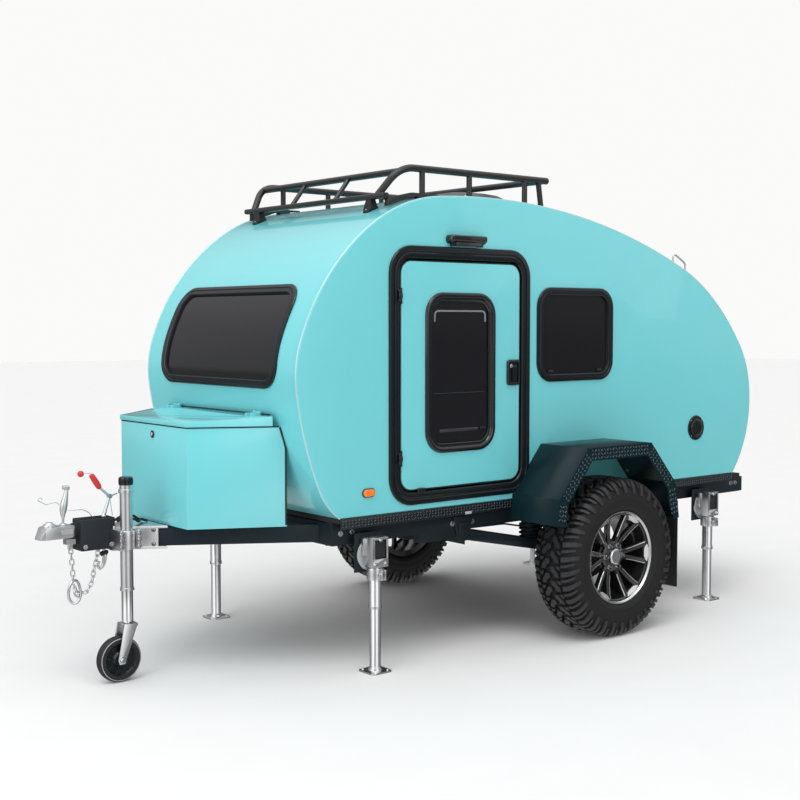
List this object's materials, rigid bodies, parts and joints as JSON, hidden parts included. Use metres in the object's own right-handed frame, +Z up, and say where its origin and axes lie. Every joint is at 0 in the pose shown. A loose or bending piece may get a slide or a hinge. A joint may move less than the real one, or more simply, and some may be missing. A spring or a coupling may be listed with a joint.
{
  "type": "teardrop camping trailer",
  "caption": "Small turquoise teardrop camper on off-road wheels, with a rear galley hatch, side doors, roof rack, front box, overrun coupler, nose wheel and drop legs.",
  "frame": {"origin": "middle of the overall box on the floor it stands on", "axes": "+X forwards to the coupler, +Y to the trailer's left side, +Z up"},
  "size_m": [3.9474, 1.84, 2.1675],
  "materials": {
    "chassis": "satin dark slate coat",
    "fender": "satin dark slate coat",
    "underfloor": "matt black",
    "body": "glossy turquoise",
    "birch": "clear lacquer",
    "black_trim": "satin black",
    "tinted_glass": "dark tint",
    "skirt": "textured",
    "rubber": "matt",
    "rack": "satin black",
    "vent": "matt",
    "hub": "painted",
    "rim": "black with machined faces",
    "tyre": "matt",
    "cast_silver": "silver coated",
    "coupler_body": "dark coated",
    "levers": "grip and rod",
    "zinc": "bright zinc",
    "jockey_rubber": "matt",
    "lamp_black": "gloss",
    "amber": "gloss"
  },
  "bodies": {
    "trailer": {"chassis_frame": "chassis", "drawbar": "chassis", "floor_panel": "underfloor", "side_panel_left": "body", "side_panel_right": "body", "roof_panel": "body", "tail_panel": "body", "galley": "birch", "door_frames": "black_trim", "window_frames": "black_trim", "window_panes": "tinted_glass", "skirt_trims": "skirt", "fenders": "fender", "mudflaps": "rubber", "roof_rack": "rack", "roof_vent": "vent", "front_box": "body", "trailing_arms": "chassis", "coupler_head": "cast_silver", "coupler_body": "coupler_body", "coupler_levers": "levers", "jockey_tube": "zinc", "porch_lamps": "lamp_black", "marker_lamps": "amber", "side_ports": "black_trim"},
    "wheel_left": {"hub_left": "hub", "rim_left": "rim", "tyre_left": "tyre"},
    "wheel_right": {"hub_right": "hub", "rim_right": "rim", "tyre_right": "tyre"},
    "door_left": {"door_left": "body", "door_window_left": "black_trim", "door_glass_left": "tinted_glass"},
    "door_right": {"door_right": "body", "door_window_right": "black_trim", "door_glass_right": "tinted_glass"},
    "hatch": {"galley_hatch": "body"},
    "box_lid": {"front_box_lid": "body"},
    "jockey_slide": {"jockey_slide": "zinc"},
    "jockey_fork": {"jockey_fork": "zinc"},
    "jockey_wheel": {"jockey_wheel": "jockey_rubber"},
    "leg_front_left": {"leg_front_left": "zinc"},
    "foot_front_left": {"foot_front_left": "zinc"},
    "leg_front_right": {"leg_front_right": "zinc"},
    "foot_front_right": {"foot_front_right": "zinc"},
    "leg_rear_left": {"leg_rear_left": "zinc"},
    "foot_rear_left": {"foot_rear_left": "zinc"},
    "leg_rear_right": {"leg_rear_right": "zinc"},
    "foot_rear_right": {"foot_rear_right": "zinc"}
  },
  "joints": [
    {"name": "wheel_left_spin", "type": "hinge", "parent": "trailer", "child": "wheel_left", "pos_m": [-0.51329, 0.795, 0.375], "axis": [0, 1, 0], "continuous": true},
    {"name": "wheel_right_spin", "type": "hinge", "parent": "trailer", "child": "wheel_right", "pos_m": [-0.51329, -0.795, 0.375], "axis": [0, 1, 0], "continuous": true},
    {"name": "door_left_hinge", "type": "hinge", "parent": "trailer", "child": "door_left", "pos_m": [0.61621, 0.64, 1.2485], "axis": [0, 0, -1], "range_deg": [0, 110]},
    {"name": "door_right_hinge", "type": "hinge", "parent": "trailer", "child": "door_right", "pos_m": [0.61621, -0.64, 1.2485], "axis": [0, 0, 1], "range_deg": [0, 110]},
    {"name": "hatch_hinge", "type": "hinge", "parent": "trailer", "child": "hatch", "pos_m": [-1.21481, 0, 1.80732], "axis": [0, 1, 0], "range_deg": [0, 75]},
    {"name": "box_lid_hinge", "type": "hinge", "parent": "trailer", "child": "box_lid", "pos_m": [1.1409, 0, 1.102], "axis": [0, -1, 0], "range_deg": [0, 75]},
    {"name": "leg_front_left_fold", "type": "hinge", "parent": "trailer", "child": "leg_front_left", "pos_m": [0.75871, 0.645, 0.5], "axis": [0, 1, 0], "range_deg": [0, 90]},
    {"name": "leg_front_left_slide", "type": "slide", "parent": "leg_front_left", "child": "foot_front_left", "axis": [0, 0, 1], "range_m": [0, 0.22]},
    {"name": "leg_front_right_fold", "type": "hinge", "parent": "trailer", "child": "leg_front_right", "pos_m": [0.75871, -0.645, 0.5], "axis": [0, 1, 0], "range_deg": [0, 90]},
    {"name": "leg_front_right_slide", "type": "slide", "parent": "leg_front_right", "child": "foot_front_right", "axis": [0, 0, 1], "range_m": [0, 0.22]},
    {"name": "leg_rear_left_fold", "type": "hinge", "parent": "trailer", "child": "leg_rear_left", "pos_m": [-1.49829, 0.645, 0.5], "axis": [0, 1, 0], "range_deg": [0, 90]},
    {"name": "leg_rear_left_slide", "type": "slide", "parent": "leg_rear_left", "child": "foot_rear_left", "axis": [0, 0, 1], "range_m": [0, 0.22]},
    {"name": "leg_rear_right_fold", "type": "hinge", "parent": "trailer", "child": "leg_rear_right", "pos_m": [-1.49829, -0.645, 0.5], "axis": [0, 1, 0], "range_deg": [0, 90]},
    {"name": "leg_rear_right_slide", "type": "slide", "parent": "leg_rear_right", "child": "foot_rear_right", "axis": [0, 0, 1], "range_m": [0, 0.22]},
    {"name": "jockey_slide", "type": "slide", "parent": "trailer", "child": "jockey_slide", "axis": [0, 0, 1], "range_m": [-0.08, 0.11]},
    {"name": "jockey_swivel", "type": "hinge", "parent": "jockey_slide", "child": "jockey_fork", "pos_m": [1.62671, 0.092, 0.245], "axis": [0, 0, 1], "continuous": true},
    {"name": "jockey_wheel_spin", "type": "hinge", "parent": "jockey_fork", "child": "jockey_wheel", "pos_m": [1.66871, 0.092, 0.095], "axis": [0, 1, 0], "continuous": true}
  ]
}
